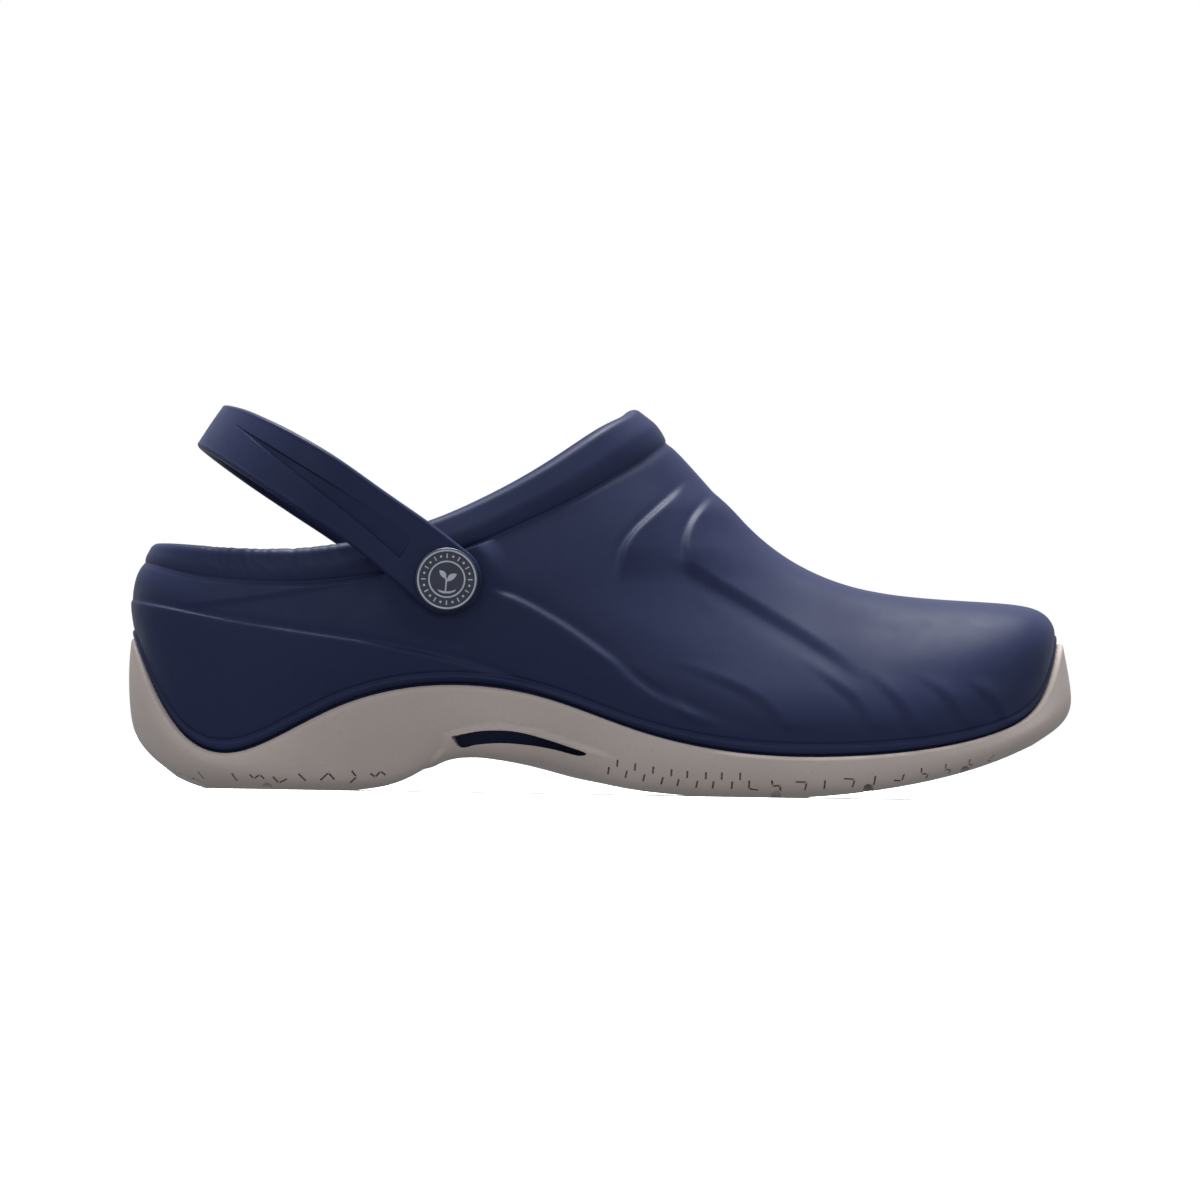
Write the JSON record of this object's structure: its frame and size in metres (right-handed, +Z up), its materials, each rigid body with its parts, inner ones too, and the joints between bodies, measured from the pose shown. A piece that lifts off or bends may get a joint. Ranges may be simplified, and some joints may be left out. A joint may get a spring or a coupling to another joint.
{
  "type": "garden clog",
  "caption": "Closed-toe moulded garden clog for the right foot, with a rubber cup outsole, a lift-out footbed and a heel strap that swings on two snap rivets.",
  "frame": {"origin": "on the ground under the middle of the clog's bounding box", "axes": "+X from heel to toe, +Y towards the medial side (the lateral side of this right clog is -Y), +Z up"},
  "size_m": [0.2697, 0.0999, 0.1099],
  "materials": {
    "upper_foam": "satin moulded foam, slate navy",
    "sole_rubber": "matte rubber, warm taupe",
    "strap_foam": "satin moulded foam, slate navy",
    "footbed_foam": "matte soft foam",
    "footbed_cloth": "fine knit cloth",
    "rivet_plastic": "satin plastic, dark navy",
    "lock_plastic": "matte plastic, dark navy"
  },
  "bodies": {
    "clog": {"upper": "upper_foam", "outsole": "sole_rubber", "footbed_foam": "footbed_foam", "footbed_cover": "footbed_cloth", "strap_rivet_lateral": "rivet_plastic", "strap_rivet_medial": "rivet_plastic", "rivet_lock_lateral": "lock_plastic", "rivet_lock_medial": "lock_plastic"},
    "strap": {"heel_strap": "strap_foam"}
  },
  "joints": [
    {"name": "strap_swing", "type": "hinge", "parent": "clog", "child": "strap", "pos_m": [-0.0464, 0, 0.0603], "axis": [0, 1, 0], "range_deg": [-18, 98]}
  ]
}
